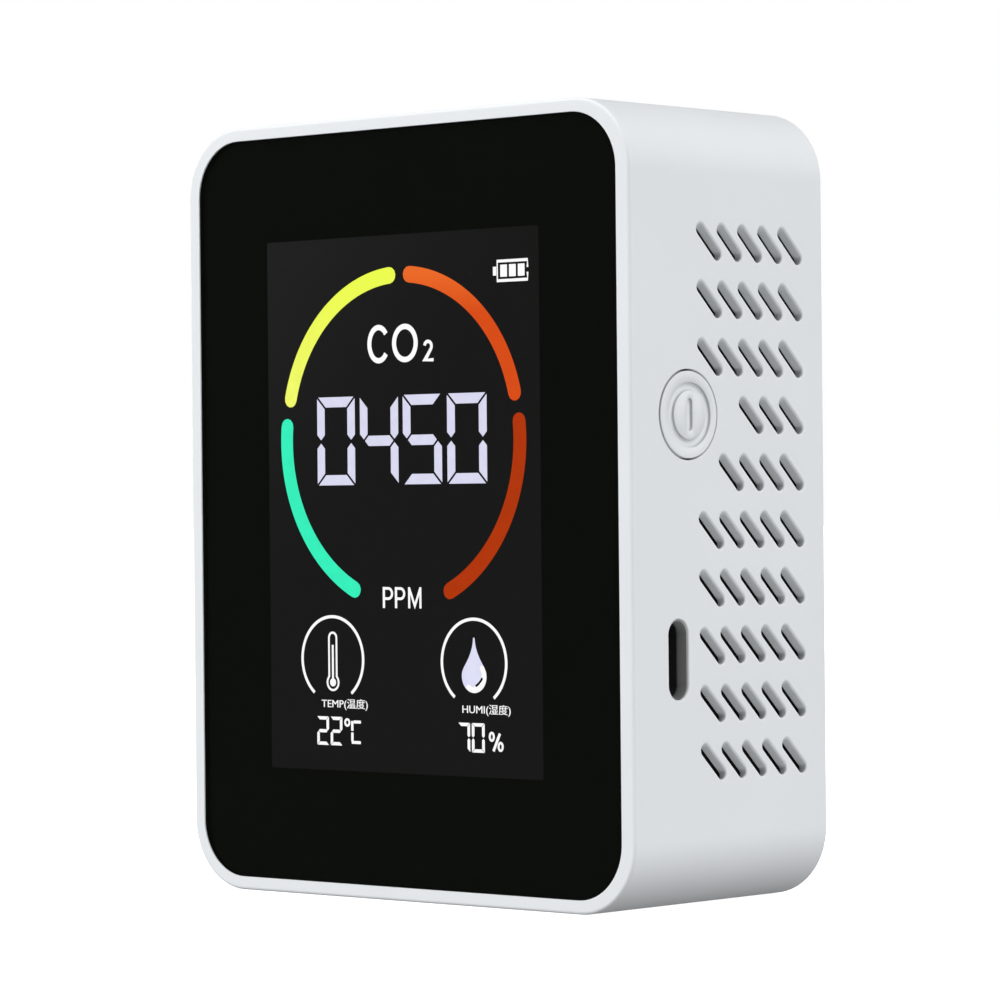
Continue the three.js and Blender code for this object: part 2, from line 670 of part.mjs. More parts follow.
const FINISH = {
  white: material(0xe9ebee, 0.5),
  buttonWhite: material(0xe6e8ec, 0.45),
  lens: material(0x0e100e, 0.12),
  adhesive: material(0x141414, 0.9),
  lcd: material(0x1c1c1c, 0.3),
  diffuser: material(0xf4f6f8, 0.6),
  guide: material(0xdfe9ec, 0.15),
  board: material(0x1f5a38, 0.5),
  chip: material(0x1a1a1c, 0.6),
  steel: material(0xb4b6b9, 0.3, 1),
  darkLiner: material(0x2c2d2e, 0.6),
  darkPlastic: material(0x151517, 0.5),
  gold: material(0xcaa15a, 0.35, 1),
  filter: material(0xf1f1ee, 0.9),
  ribbon: material(0xb0702a, 0.5),
  foil: material(0xa9adb2, 0.35, 1),
  foam: material(0x26272a, 0.95),
  nylon: material(0xe8e4da, 0.55),
  red: material(0xb01818, 0.5),
  black: material(0x111111, 0.5),
  label: material(0xd8dadd, 0.6),
  mesh: material(0x0c0c0d, 0.9),
};

// ---- assembly ----
const assembly = new THREE.Group();
assembly.position.y = -BACK / 2;

function add(name, solid, finish) {
  const mesh = new THREE.Mesh(geometryOf(solid), finish);
  mesh.name = name;
  assembly.add(mesh);
}

add("front_housing", frontHousing(), FINISH.white);
add("back_cover", backCover(), FINISH.white);
add("dust_screen_right", dustScreen(1), FINISH.mesh);
add("dust_screen_left", dustScreen(-1), FINISH.mesh);
add("display_lens", displayLens(), FINISH.lens);
add("lens_adhesive", lensAdhesive(), FINISH.adhesive);
add("lcd_panel", lcdPanel(), FINISH.lcd);
add("backlight_frame", backlightFrame(), FINISH.diffuser);
add("light_guide", lightGuide(), FINISH.guide);
add("backlight_leds", backlightLeds(), FINISH.diffuser);
add("lcd_ribbon_cable", ribbonCable(), FINISH.ribbon);
add("ribbon_socket", ribbonSocketBody(), FINISH.nylon);
add("main_board", mainBoard(), FINISH.board);
add("microcontroller", chip(-8, 44, 10, 10, 1.4, 6, true), FINISH.chip);
add("lcd_driver_chip", chip(-8, 28, 7, 7, 1.0, 4, true), FINISH.chip);
add("charge_chip", chip(19, 38, 4, 5, 1.4, 4, false), FINISH.chip);
add("power_inductor", inductor(), FINISH.chip);
add("filter_capacitor", capacitor(), FINISH.foil);
add("clock_crystal", crystal(), FINISH.steel);
add("temperature_humidity_sensor", climateSensor(), FINISH.darkPlastic);
add("alarm_buzzer", buzzer(), FINISH.darkPlastic);
add("co2_sensor_board", gasSensorBoard(), FINISH.board);
add("co2_sensor_pins", gasSensorPins(), FINISH.darkPlastic);
add("co2_sensor_chamber", gasChamber(), FINISH.gold);
add("co2_sensor_filter", gasFilter(), FINISH.filter);
add("power_button", powerButton(), FINISH.buttonWhite);
add("button_switch_body", switchBody(), FINISH.darkPlastic);
add("button_switch_plunger", switchPlunger(), FINISH.nylon);
add("usb_port_liner", portLiner(), FINISH.darkLiner);
add("usb_port_gasket", portGasket(), FINISH.foam);
add("usb_socket_shell", socketShell(), FINISH.steel);
add("usb_socket_tongue", socketTongue(), FINISH.darkPlastic);
add("battery_cell", batteryCell(), FINISH.foil);
add("battery_foam_pad", batteryPad(), FINISH.foam);
add("battery_socket", batterySocket(), FINISH.nylon);
add("battery_wire_red", batteryWire(1), FINISH.red);
add("battery_wire_black", batteryWire(-1), FINISH.black);
add("rating_label", ratingLabel(), FINISH.label);
corners(COVER_FIXINGS).forEach(([x, z], i) => {
  add(`cover_screw_${i + 1}`, screw(COVER_SCREW, COVER_SCREW.seat, x, z), FINISH.steel);
});
corners(PCB_FIXINGS).forEach(([x, z], i) => {
  add(`board_screw_${i + 1}`, screw(PCB_SCREW, ON_PCB, x, z), FINISH.steel);
});

const monitor = new THREE.Group();
monitor.add(assembly);

export default monitor;
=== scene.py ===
"""Looks for the desktop air quality monitor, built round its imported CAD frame.

Lengths are in millimetres in the front plane's own coordinates: x to the right, depth counted back from
the front rim, z up from the base. place() turns them into the shared frame in metres. Materials, the
camera and the studio are in metres in the shared frame.
"""

import json
import math

import bmesh
import bpy
from mathutils import Matrix, Vector

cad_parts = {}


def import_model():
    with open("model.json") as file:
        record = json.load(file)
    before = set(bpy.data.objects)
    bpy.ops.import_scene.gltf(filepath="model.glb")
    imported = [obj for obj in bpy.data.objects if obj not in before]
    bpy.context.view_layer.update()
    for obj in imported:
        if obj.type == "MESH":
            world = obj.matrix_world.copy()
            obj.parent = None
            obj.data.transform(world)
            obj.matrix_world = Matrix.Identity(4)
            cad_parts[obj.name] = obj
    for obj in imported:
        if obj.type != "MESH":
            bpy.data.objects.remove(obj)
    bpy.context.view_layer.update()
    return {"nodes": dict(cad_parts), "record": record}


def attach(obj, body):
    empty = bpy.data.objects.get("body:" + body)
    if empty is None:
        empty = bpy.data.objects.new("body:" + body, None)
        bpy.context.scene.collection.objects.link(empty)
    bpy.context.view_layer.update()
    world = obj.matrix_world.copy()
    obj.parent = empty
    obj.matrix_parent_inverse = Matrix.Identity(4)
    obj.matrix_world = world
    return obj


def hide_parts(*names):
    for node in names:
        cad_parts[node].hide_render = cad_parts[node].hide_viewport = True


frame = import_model()

MM = 0.001
CASE_W, CASE_H, CASE_D = 73.0, 95.0, 36.0
CASE_R = 8.5
WALL = 1.4
MID_Z = CASE_H / 2
HALF_W = CASE_W / 2
INNER_X = HALF_W - WALL
SLIVER = 1e-3  # keeps the straight part of a full-round end from vanishing


def place(x, depth, z):
    return Vector((x * MM, (depth - CASE_D / 2) * MM, z * MM))


# ---------------------------------------------------------------- camera
CAMERA_AT = Vector((0.3592, -0.3954, 0.04794))
CAMERA_AZIMUTH, CAMERA_ELEVATION, CAMERA_ROLL = (math.radians(turn) for turn in (42.28, -0.04, -0.543))
SENSOR_WIDTH, FOCAL_LENGTH = 36, 155.6


def add_camera():
    look = Vector(
        (
            -math.sin(CAMERA_AZIMUTH) * math.cos(CAMERA_ELEVATION),
            math.cos(CAMERA_AZIMUTH) * math.cos(CAMERA_ELEVATION),
            -math.sin(CAMERA_ELEVATION),
        )
    )
    right = look.cross(Vector((0, 0, 1))).normalized()
    up = right.cross(look)
    cos, sin = math.cos(CAMERA_ROLL), math.sin(CAMERA_ROLL)
    right, up = right * cos + up * sin, up * cos - right * sin
    data = bpy.data.cameras.new("camera")
    data.sensor_width = SENSOR_WIDTH
    data.lens = FOCAL_LENGTH
    data.clip_start = 0.01
    camera = bpy.data.objects.new("camera", data)
    turn = Matrix((right, up, -look)).transposed().to_4x4()
    camera.matrix_world = Matrix.Translation(CAMERA_AT) @ turn
    bpy.context.scene.collection.objects.link(camera)
    bpy.context.scene.camera = camera


add_camera()


# ---------------------------------------------------------------- materials
WHITE = (0.785, 0.809, 0.832)
NOISE_LOW, NOISE_HIGH = 0.25, 0.75  # where nearly all of a noise texture's values lie
ROUGHNESS_SPREAD = 0.06


class Graph:
    """Short calls for the nodes of a material or of the world."""

    def __init__(self, tree):
        self.tree = tree

    def ramp(self, value, start, end, low=0.0, high=1.0, smooth=False):
        """low up to start, high from end on, and an even or an eased run between them."""
        node = self.tree.nodes.new("ShaderNodeMapRange")
        if smooth:
            node.interpolation_type = "SMOOTHSTEP"
        node.inputs["From Min"].default_value = start
        node.inputs["From Max"].default_value = end
        node.inputs["To Min"].default_value = low
        node.inputs["To Max"].default_value = high
        self.tree.links.new(value, node.inputs["Value"])
        return node.outputs["Result"]

    def combine(self, operation, *values):
        total = values[0]
        for value in values[1:]:
            node = self.tree.nodes.new("ShaderNodeMath")
            node.operation = operation
            self.tree.links.new(total, node.inputs[0])
            self.tree.links.new(value, node.inputs[1])
            total = node.outputs["Value"]
        return total

    def split(self, vector):
        node = self.tree.nodes.new("ShaderNodeSeparateXYZ")
        self.tree.links.new(vector, node.inputs["Vector"])
        return [node.outputs[axis] for axis in "XYZ"]


class Nodes(Graph):
    """A Principled material and short calls for the nodes that feed it."""

    def __init__(self, name, color, roughness, metallic=0.0):
        self.material = bpy.data.materials.new(name)
        self.material.use_nodes = True
        super().__init__(self.material.node_tree)
        self.shader = self.tree.nodes["Principled BSDF"]
        self.shader.inputs["Base Color"].default_value = (*color, 1)
        self.shader.inputs["Roughness"].default_value = roughness
        self.shader.inputs["Metallic"].default_value = metallic
        self.coords = self.tree.nodes.new("ShaderNodeTexCoord").outputs["Object"]

    def gloss(self, level):
        self.shader.inputs["Specular IOR Level"].default_value = level

    def glow(self, strength):
        self.shader.inputs["Emission Strength"].default_value = strength

    def noise(self, scale, detail=3.0, roughness=0.5, stretch=None):
        node = self.tree.nodes.new("ShaderNodeTexNoise")
        node.inputs["Scale"].default_value = scale
        node.inputs["Detail"].default_value = detail
        node.inputs["Roughness"].default_value = roughness
        source = self.coords
        if stretch:
            mapping = self.tree.nodes.new("ShaderNodeMapping")
            mapping.inputs["Scale"].default_value = stretch
            self.tree.links.new(self.coords, mapping.inputs["Vector"])
            source = mapping.outputs["Vector"]
        self.tree.links.new(source, node.inputs["Vector"])
        return node.outputs["Fac"]

    def ranged(self, noise, low, high):
        return self.ramp(noise, NOISE_LOW, NOISE_HIGH, low, high)

    def wave(self, scale, direction="X"):
        node = self.tree.nodes.new("ShaderNodeTexWave")
        node.bands_direction = direction
        node.inputs["Scale"].default_value = scale
        self.tree.links.new(self.coords, node.inputs["Vector"])
        return node.outputs["Fac"]

    def blend(self, value, first, second):
        """A mix of two colours. The first can be another node's."""
        node = self.tree.nodes.new("ShaderNodeMix")
        node.data_type = "RGBA"
        if isinstance(first, tuple):
            node.inputs["A"].default_value = (*first, 1)
        else:
            self.tree.links.new(first, node.inputs["A"])
        node.inputs["B"].default_value = (*second, 1)
        self.tree.links.new(value, node.inputs["Factor"])
        return node.outputs["Result"]

    def feed(self, socket, value):
        self.tree.links.new(value, self.shader.inputs[socket])

    def bump(self, height, distance):
        node = self.tree.nodes.new("ShaderNodeBump")
        node.inputs["Distance"].default_value = distance
        node.inputs["Strength"].default_value = 1.0
        self.tree.links.new(height, node.inputs["Height"])
        return node.outputs["Normal"]


def scaled(color, factor):
    return tuple(c * factor for c in color)


def grained(name, color, roughness, metallic=0.0, grain=3000, depth=4e-6, tone=0.03, gloss=0.5):
    """Moulded or coated stuff: fine grain in the relief, and faint drifts of tone and gloss."""
    nodes = Nodes(name, color, roughness, metallic)
    nodes.gloss(gloss)
    drift = nodes.ranged(nodes.noise(60, 2), 0, 1)
    nodes.feed("Base Color", nodes.blend(drift, scaled(color, 1 - tone), scaled(color, 1 + tone / 3)))
    smudges = nodes.noise(grain / 4)
    nodes.feed("Roughness", nodes.ranged(smudges, roughness - ROUGHNESS_SPREAD, roughness + ROUGHNESS_SPREAD))
    nodes.feed("Normal", nodes.bump(nodes.noise(grain, 4, 0.6), depth))
    return nodes.material


def brushed(name, color, roughness, stretch):
    """Metal with fine lines that lie across the axis with the larger stretch."""
    nodes = Nodes(name, color, roughness, 1.0)
    lines = nodes.noise(900, 4, 0.6, stretch)
    nodes.feed("Roughness", nodes.ranged(lines, roughness - 0.08, roughness + 0.12))
    nodes.feed("Base Color", nodes.blend(nodes.noise(300), scaled(color, 0.88), color))
    nodes.feed("Normal", nodes.bump(lines, 3e-6))
    return nodes.material


def solder_mask():
    """Green coating with faint lighter lines, for the boards."""
    nodes = Nodes("board_green", (0.014, 0.1, 0.04), 0.35)
    traces = nodes.tree.nodes.new("ShaderNodeTexBrick")
    traces.inputs["Scale"].default_value = 260
    traces.inputs["Mortar Size"].default_value = 0.012
    traces.inputs["Color1"].default_value = (0.012, 0.085, 0.035, 1)
    traces.inputs["Color2"].default_value = (0.016, 0.11, 0.045, 1)
    traces.inputs["Mortar"].default_value = (0.04, 0.2, 0.09, 1)
    nodes.tree.links.new(nodes.coords, traces.inputs["Vector"])
    nodes.feed("Base Color", traces.outputs["Color"])
    nodes.feed("Normal", nodes.bump(traces.outputs["Fac"], 1e-5))
    return nodes.material


def tinted_glass():
    nodes = Nodes("lens_glass", (0.004, 0.005, 0.004), 0.06)
    nodes.gloss(0.35)
    nodes.shader.inputs["Alpha"].default_value = 0.2
    nodes.shader.inputs["IOR"].default_value = 1.5
    nodes.feed("Roughness", nodes.ranged(nodes.noise(40, 5, 0.6), 0.045, 0.085))
    nodes.feed("Normal", nodes.bump(nodes.noise(25, 1), 2e-6))
    return nodes.material


def clear_sheet():
    nodes = Nodes("clear_acrylic", (0.85, 0.9, 0.92), 0.1)
    nodes.shader.inputs["Alpha"].default_value = 0.4
    nodes.feed("Roughness", nodes.ranged(nodes.noise(200), 0.06, 0.16))
    return nodes.material


def display_black():
    """The dark liquid crystal area: a faint backlight glow, with a painted sheen that brightens it towards
    its upper left.
    """
    nodes = Nodes("lcd_black", (0.004, 0.004, 0.004), 0.35)
    nodes.gloss(0.0)
    x, _, z = nodes.split(nodes.coords)
    # Painted sheen: the glow rises towards the upper left of the area, on top of the real faint backlight.
    painted_sheen = nodes.ramp(nodes.combine("SUBTRACT", z, x), 0.055, 0.11, smooth=True)
    nodes.feed("Emission Color", nodes.blend(painted_sheen, (0.0094, 0.0094, 0.0094), (0.0185, 0.0185, 0.0185)))
    nodes.glow(1.0)
    nodes.feed("Roughness", nodes.ranged(nodes.noise(900), 0.3, 0.42))
    return nodes.material


def lit(name, color, strength, upper=None, span=None):
    """A lit display segment, faintly mottled. Its colour can run to an upper one over a span of heights."""
    nodes = Nodes(name, (0.004, 0.004, 0.004), 0.4)
    nodes.gloss(0.0)
    mottle = nodes.ranged(nodes.noise(700, 2), 0, 1)
    light = nodes.blend(mottle, scaled(color, 0.95), scaled(color, 1.03))
    if upper:
        height = nodes.split(nodes.coords)[2]
        light = nodes.blend(nodes.ramp(height, *span), light, upper)
    nodes.feed("Emission Color", light)
    nodes.glow(strength)
    return nodes.material


def port_gray():
    """The liner of the port: gray at its mouth, with painted shade that darkens it down the hole and at its
    lower end.
    """
    gray, dark = (0.365, 0.368, 0.368), (0.03, 0.031, 0.031)
    nodes = Nodes("liner_gray", gray, 0.5)
    nodes.gloss(0.3)
    x, _, z = nodes.split(nodes.coords)
    # Painted shade: the colour fades to near black deeper in the hole and towards the liner's lower end.
    mouth = nodes.ramp(x, 0.0344, 0.0352, smooth=True)
    lower_end_shade = nodes.ramp(z, 0.0245, 0.0272, low=0.35, smooth=True)
    nodes.feed("Base Color", nodes.blend(nodes.combine("MULTIPLY", mouth, lower_end_shade), dark, gray))
    nodes.feed("Normal", nodes.bump(nodes.noise(3000, 4, 0.6), 4e-6))
    return nodes.material


def button_white():
    """White like the case, with painted shade on the steep walls of the button's recessed mark and on the
    band of the button's side between the same depths.
    """
    nodes = Nodes("button_white", WHITE, 0.36)
    x = nodes.split(nodes.coords)[0]
    # Painted shade: between the face and the mark's floor the white drops to two thirds.
    face = nodes.ramp(x, 0.0364, 0.03646)
    mark_floor = nodes.ramp(x, 0.03614, 0.03608)
    nodes.feed("Base Color", nodes.blend(nodes.combine("ADD", face, mark_floor), scaled(WHITE, 0.66), WHITE))
    nodes.feed("Normal", nodes.bump(nodes.noise(3600, 4, 0.6), 3e-6))
    return nodes.material


def woven(name, color):
    nodes = Nodes(name, color, 0.85)
    threads = nodes.wave(1500)
    nodes.feed("Normal", nodes.bump(threads, 4e-5))
    nodes.feed("Base Color", nodes.blend(threads, scaled(color, 0.8), color))
    return nodes.material


def netting(name, color):
    """Fine dust mesh: crossed threads in the relief."""
    nodes = Nodes(name, color, 0.9)
    nodes.gloss(0.1)
    threads = nodes.combine("MAXIMUM", nodes.wave(1300, "Y"), nodes.wave(1300, "Z"))
    nodes.feed("Normal", nodes.bump(threads, 3e-5))
    nodes.feed("Base Color", nodes.blend(threads, scaled(color, 0.4), color))
    return nodes.material


MATERIALS = {
    "case_white": grained("case_white", WHITE, 0.42, grain=2600, depth=5e-6, tone=0.02),
    "button_white": button_white(),
    "lens_glass": tinted_glass(),
    "adhesive_black": grained("adhesive_black", (0.0036, 0.0045, 0.003), 0.8, gloss=0.05),
    "lcd_black": display_black(),
    "diffuser_white": grained("diffuser_white", (0.86, 0.87, 0.87), 0.5),
    "clear_acrylic": clear_sheet(),
    "polyimide": grained("polyimide", (0.4, 0.16, 0.03), 0.35),
    "nylon": grained("nylon", (0.8, 0.76, 0.68), 0.5),
    "board_green": solder_mask(),
    "chip_black": grained("chip_black", (0.012, 0.012, 0.014), 0.55, depth=1e-5),
    "can_aluminium": grained("can_aluminium", (0.5, 0.52, 0.54), 0.35, 1.0, depth=8e-6),
    "steel": brushed("steel", (0.56, 0.56, 0.58), 0.3, (1, 12, 1)),
    "plastic_black": grained("plastic_black", (0.01, 0.01, 0.012), 0.5),
    "gold_metal": brushed("gold_metal", (0.78, 0.55, 0.22), 0.28, (8, 1, 1)),
    "filter_white": woven("filter_white", (0.8, 0.8, 0.78)),
    "liner_gray": port_gray(),
    "foam_black": grained("foam_black", (0.028, 0.028, 0.03), 0.9, grain=1200, depth=6e-5),
    "wire_red": grained("wire_red", (0.45, 0.012, 0.012), 0.4),
    "wire_black": grained("wire_black", (0.01, 0.01, 0.01), 0.4),
    "screen_mesh": netting("screen_mesh", (0.006, 0.006, 0.006)),
    "label_gray": grained("label_gray", (0.62, 0.63, 0.65), 0.5, grain=1800, depth=8e-6),
}


# ---------------------------------------------------------------- mesh building
def mesh_object(name, points, faces):
    """An object from points in millimetres. Its faces are turned outwards."""
    mesh = bpy.data.meshes.new(name)
    mesh.from_pydata([place(*p) for p in points], [], faces)
    bm = bmesh.new()
    bm.from_mesh(mesh)
    bmesh.ops.remove_doubles(bm, verts=bm.verts, dist=1e-8)
    bmesh.ops.recalc_face_normals(bm, faces=bm.faces)
    bm.to_mesh(mesh)
    bm.free()
    obj = bpy.data.objects.new(name, mesh)
    bpy.context.scene.collection.objects.link(obj)
    return obj


def stack_data(loops, closed=False):
    """Points and faces that skin loops of equal length: capped at both ends, or joined end to start."""
    count = len(loops[0])
    points = [p for loop in loops for p in loop]
    faces = []
    for level in range(len(loops) if closed else len(loops) - 1):
        near, far = level * count, (level + 1) % len(loops) * count
        for i in range(count):
            j = (i + 1) % count
            faces.append((near + i, near + j, far + j, far + i))
    if not closed:
        faces.append(tuple(range(count)))
        faces.append(tuple(range(len(points) - count, len(points))))
    return points, faces


def stack(name, loops, closed=False):
    return mesh_object(name, *stack_data(loops, closed))


def merged(name, parts):
    """One object from several (points, faces) lists."""
    points, faces = [], []
    for part_points, part_faces in parts:
        start = len(points)
        points += part_points
        faces += [tuple(start + i for i in face) for face in part_faces]
    return mesh_object(name, points, faces)


def rounded_rect(width, height, radius, steps):
    """Counter-clockwise outline round the origin, with the same number of points whatever its size."""
    points = []
    for quarter, (sx, sy) in enumerate(((1, 1), (-1, 1), (-1, -1), (1, -1))):
        across, up = sx * (width / 2 - radius), sy * (height / 2 - radius)
        for i in range(steps + 1):
            turn = (quarter + i / steps) * math.pi / 2
            points.append((across + radius * math.cos(turn), up + radius * math.sin(turn)))
    return points


def front_loop(width, height, radius, depth, x=0.0, z=MID_Z, steps=16):
    return [(x + u, depth, z + v) for u, v in rounded_rect(width, height, radius, steps)]


def fillet(steps):
    """(part of the radius cut from the outline, part of the radius along the depth), from face to wall."""
    turns = [i / steps * math.pi / 2 for i in range(steps + 1)]
    return [(1 - math.sin(turn), 1 - math.cos(turn)) for turn in turns]


def plate_loops(width, height, corner, front, back, edge, x=0.0, z=MID_Z, steps=16):
    """A rounded plate whose front and back edges are rounded over."""
    ends = [(inset * edge, along * edge) for inset, along in fillet(4)]
    stations = [(inset, front + along) for inset, along in ends]
    stations += [(inset, back - along) for inset, along in reversed(ends)]
    loops = []
    for inset, depth in stations:
        size = (width - 2 * inset, height - 2 * inset, max(corner - inset, 0.01))
        loops.append(front_loop(*size, depth, x, z, steps))
    return loops


def plate(name, *args, **kwargs):
    return stack(name, plate_loops(*args, **kwargs))


def side_loops(width, height, radius, stations, y, z, tilt=0.0, steps=4):
    """Loops of a rounded rectangle laid on the side wall, at (x, growth) stations along X."""
    cos, sin = math.cos(tilt), math.sin(tilt)
    loops = []
    for x, growth in stations:
        outline = rounded_rect(width + 2 * growth, height + 2 * growth, max(radius + growth, 0.01), steps)
        loops.append([(x, y + u * cos - v * sin, z + u * sin + v * cos) for u, v in outline])
    return loops


def cutter_stations(side, edge):
    """Stations of a cutter through a side wall that leaves the outer edge of its hole rounded over."""
    past_wall, start = 0.8, HALF_W + 0.003
    stations = [(side * (HALF_W + past_wall), edge)]
    stations += [(side * (start - along * edge), inset * edge) for inset, along in fillet(4)]
    stations.append((side * (INNER_X - past_wall), 0.0))
    return stations


def lathe_loops(profile, axis, centre, segments=48):
    """Loops of a turned solid. profile is (radius, position along the axis), from end to end."""
    loops = []
    for radius, along in profile:
        loop = []
        for i in range(segments):
            turn = 2 * math.pi * i / segments
            a, b = max(radius, SLIVER) * math.cos(turn), max(radius, SLIVER) * math.sin(turn)
            if axis == "x":
                loop.append((along, centre[0] + a, centre[1] + b))
            else:
                loop.append((centre[0] + a, along, centre[1] + b))
        loops.append(loop)
    return loops


def lathe_data(*args):
    return stack_data(lathe_loops(*args))


def rod_data(radius, start, end, at, segments=48):
    """A plain round bar from front to back, round a point (x, z)."""
    return lathe_data([(0, start), (radius, start), (radius, end), (0, end)], "y", at, segments)


def carve(obj, tool, operation="DIFFERENCE"):
    modifier = obj.modifiers.new("cut", "BOOLEAN")
    modifier.operation = operation
    modifier.solver = "EXACT"
    modifier.object = tool
    bpy.context.view_layer.objects.active = obj
    bpy.ops.object.modifier_apply(modifier=modifier.name)
    bpy.data.objects.remove(tool)


def settle(obj, slot, nodes=(), body="case", angle=32, flat=False):
    """Smooth shading, a material, and its place on the frame. flat keeps the faces across X unsmoothed."""
    for polygon in obj.data.polygons:
        polygon.use_smooth = not (flat and abs(polygon.normal.x) > 0.9999)
    obj.data.set_sharp_from_angle(angle=math.radians(angle))
    bpy.context.view_layer.objects.active = obj
    modifier = obj.modifiers.new("normals", "WEIGHTED_NORMAL")
    modifier.keep_sharp = True
    modifier.weight = 80
    bpy.ops.object.modifier_apply(modifier=modifier.name)
    obj.data.materials.append(MATERIALS[slot])
    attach(obj, body)
    if nodes:
        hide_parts(*nodes)


# ---------------------------------------------------------------- the case
LENS_X = -0.15
SEAT = (69.18, 91.72, 6.86)  # width, height and corner radius of the step the lens sits in
SEAT_DEPTH, FRONT_WALL, WINDOW_CORNER = 1.5, 3.0, 1.0
WINDOW_W, WINDOW_H, WINDOW_Z = 50.2, 69.6, 48.0
FRONT_EDGE, REAR_EDGE, SEAT_EDGE, MOUTH_EDGE = 0.42, 0.6, 0.07, 0.25
VENT_COLUMNS, VENT_ROWS = 5, 10
VENT_Y, VENT_Z = 14.38, 78.4
VENT_PITCH_Y, VENT_PITCH_Z = 3.8, 6.78
VENT_FIRST_COLUMN = {3: 2, 4: 1}  # rows that leave room for the button
VENT_EDGE, PORT_EDGE, HOLE_EDGE = 0.34, 0.22, 0.08
SLOT_W, SLOT_REACH, SLOT_TILT, SLOT_SLANT = 1.38, 4.15, math.radians(-43), 0.5
BUTTON_Y, BUTTON_Z = 10.4, 58.05
BUTTON_HOLE_Y, BUTTON_HOLE_R = 10.29, 5.34
PORT_Y, PORT_Z, PORT_W, PORT_L = 8.18, 29.5, 3.56, 9.4
COVER_FIXINGS = [(x, z) for z in (7.3, 87.7) for x in (-29.2, 29.2)]
BOARD_FIXINGS = [(x, z) for z in (15, 80) for x in (-29.5, 29.5)]
COVER_BOSS, COVER_PILOT = (3.0, 2.7, 33.75), (1.25, 21.8, 35)  # radius, first and last depth
BOARD_BOSS, BOARD_PILOT = (2.4, 2.7, 6.55), (1.0, 3.4, 7)


def slot_loops(stations, y, z):
    """A vent slot, which slants along its own length on its way through the wall."""
    loops = []
    for x, growth in stations:
        slide = SLOT_SLANT * max(HALF_W - abs(x), 0)
        at = (y + slide * math.cos(SLOT_TILT), z + slide * math.sin(SLOT_TILT))
        size = (SLOT_REACH + SLOT_W, SLOT_W, SLOT_W / 2 - SLIVER)
        loops += side_loops(*size, [(x, growth)], *at, SLOT_TILT, steps=6)
    return loops


def grown_loops(size, lip, stations, x=0.0):
    """Loops of an opening whose edge widens by up to lip, at (part of lip, depth) stations."""
    width, height, corner = size
    loops = []
    for part, depth in stations:
        grow = 2 * lip * part
        loops.append(front_loop(width + grow, height + grow, corner + lip * part, depth, x))
    return loops


def case_loops():
    """The whole skin: from the window over the seat and round the outside to the rear mouth, and back."""
    loops = [front_loop(WINDOW_W, WINDOW_H, WINDOW_CORNER, SEAT_DEPTH, z=WINDOW_Z)]
    loops.append(front_loop(*SEAT, SEAT_DEPTH, LENS_X))
    seat_edge = [(inset, SEAT_EDGE * along) for inset, along in reversed(fillet(3))]
    loops += grown_loops(SEAT, SEAT_EDGE, seat_edge, LENS_X)
    outside = [(inset * FRONT_EDGE, along * FRONT_EDGE) for inset, along in fillet(7)]
    outside += [(inset * REAR_EDGE, CASE_D - along * REAR_EDGE) for inset, along in reversed(fillet(7))]
    for inset, depth in outside:
        loops.append(front_loop(CASE_W - 2 * inset, CASE_H - 2 * inset, CASE_R - inset, depth))
    inner = (CASE_W - 2 * WALL, CASE_H - 2 * WALL, CASE_R - WALL)
    mouth_edge = [(inset, CASE_D - MOUTH_EDGE * along) for inset, along in fillet(3)]
    loops += grown_loops(inner, MOUTH_EDGE, mouth_edge)
    loops.append(front_loop(*inner, FRONT_WALL))
    loops.append(front_loop(WINDOW_W, WINDOW_H, WINDOW_CORNER, FRONT_WALL, z=WINDOW_Z))
    return loops


def case_shell():
    shell = stack("case_shell", case_loops(), closed=True)
    bosses = [rod_data(*COVER_BOSS, at) for at in COVER_FIXINGS]
    bosses += [rod_data(*BOARD_BOSS, at) for at in BOARD_FIXINGS]
    carve(shell, merged("bosses", bosses), "UNION")

    tools = [rod_data(*COVER_PILOT, at, 24) for at in COVER_FIXINGS]
    tools += [rod_data(*BOARD_PILOT, at, 24) for at in BOARD_FIXINGS]
    for side, first in ((1, VENT_FIRST_COLUMN), (-1, {})):
        stations = cutter_stations(side, VENT_EDGE)
        for row in range(VENT_ROWS):
            for column in range(first.get(row, 0), VENT_COLUMNS):
                y, z = VENT_Y + column * VENT_PITCH_Y, VENT_Z - row * VENT_PITCH_Z
                tools.append(stack_data(slot_loops(stations, y, z)))
    port_size = (PORT_W, PORT_L, PORT_W / 2 - SLIVER)
    tools.append(stack_data(side_loops(*port_size, cutter_stations(1, PORT_EDGE), PORT_Y, PORT_Z, steps=10)))
    hole = [(BUTTON_HOLE_R + growth, x) for x, growth in cutter_stations(1, HOLE_EDGE)]
    hole = [(0, hole[0][1])] + hole + [(0, hole[-1][1])]
    tools.append(lathe_data(hole, "x", (BUTTON_HOLE_Y, BUTTON_Z), 96))
    carve(shell, merged("openings", tools))
    settle(shell, "case_white", ["front_housing"])


case_shell()


COVER_GAP, COVER_FRONT, COVER_BACK, COVER_EDGE = 0.15, 32.3, 35.8, 0.3
COVER_LIP, COVER_FLOOR = 1.2, 33.8  # width of the rim on its inner side, and where the hollow in it ends
LABEL_W, LABEL_H, LABEL_R, LABEL_Z = 44, 30, 1.5, 47.5
LABEL_FLOOR = 35.55
# Hole, seat and rounded mouth of each screw's well, as (radius, depth).
WELL = [(0, 33), (1.4, 33), (1.4, 34.35), (2.7, 34.35), (2.7, 35.55), (2.77, 35.72), (2.95, 35.82)]
WELL += [(2.95, 37), (0, 37)]


